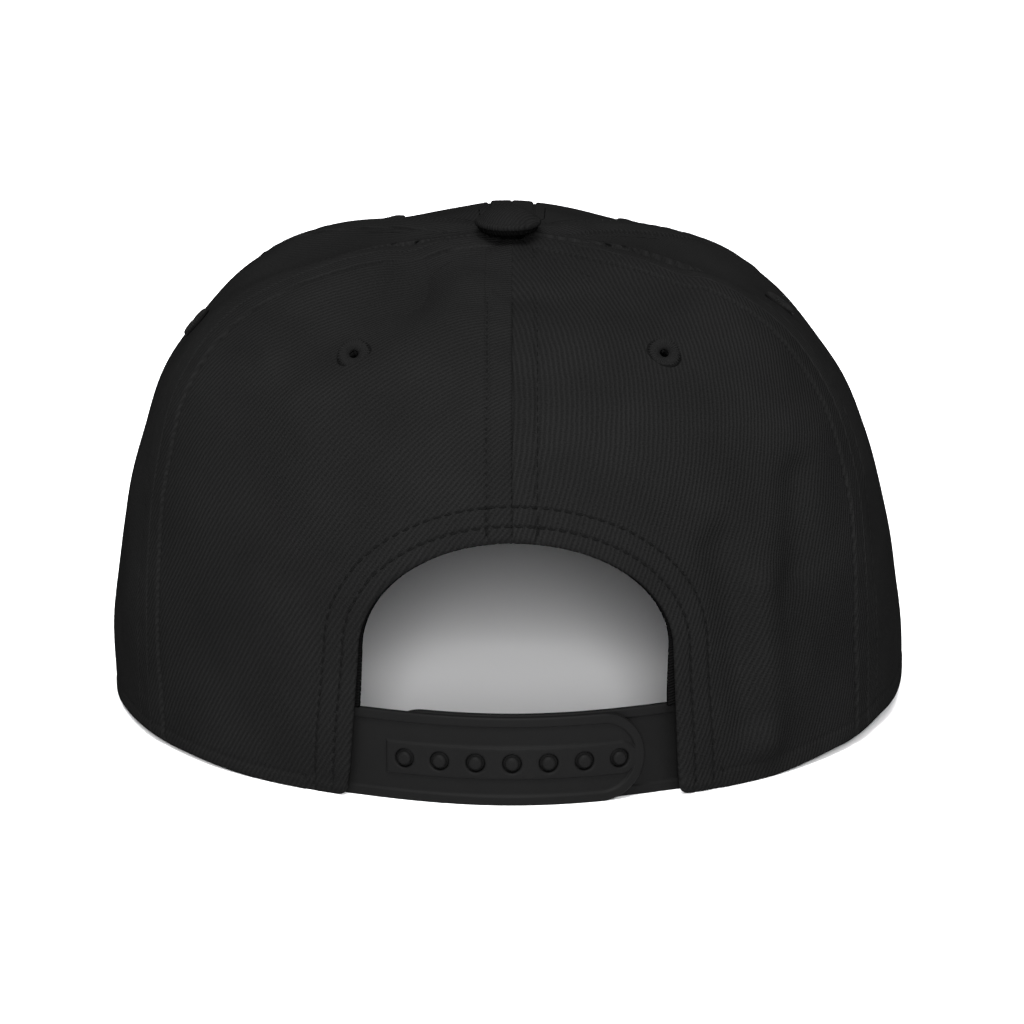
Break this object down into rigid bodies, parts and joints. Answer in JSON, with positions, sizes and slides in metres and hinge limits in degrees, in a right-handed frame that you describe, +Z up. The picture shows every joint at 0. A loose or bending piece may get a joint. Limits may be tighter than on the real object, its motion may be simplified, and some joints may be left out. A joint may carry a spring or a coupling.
{
  "type": "snapback cap",
  "caption": "Soft structured cap with a flat peak, a panelled crown with sewn eyelets and a button, an arched opening at the back and a snap strap across it.",
  "frame": {"origin": "on the surface the cap rests on, below the middle of the cap's bounding box", "axes": "+Y from the peak toward the back of the head, +Z up to the button, +X toward the wearer's left"},
  "size_m": [0.1772, 0.2549, 0.1097],
  "materials": {
    "cloth": "matt black wool-blend twill",
    "lining": "matt black cotton band and tape",
    "thread": "black embroidery thread",
    "plastic": "satin black moulded plastic"
  },
  "bodies": {
    "root": {"back_panel_left": "cloth", "back_panel_right": "cloth", "side_panel_left": "cloth", "side_panel_right": "cloth", "front_panel_left": "cloth", "front_panel_right": "cloth", "eyelet_back_left": "thread", "eyelet_back_right": "thread", "eyelet_side_left": "thread", "eyelet_side_right": "thread", "eyelet_front_left": "thread", "eyelet_front_right": "thread", "top_button": "cloth", "peak": "cloth", "sweatband": "lining", "arch_tape": "lining", "strap_outer": "plastic", "strap_inner": "plastic"}
  },
  "joints": []
}
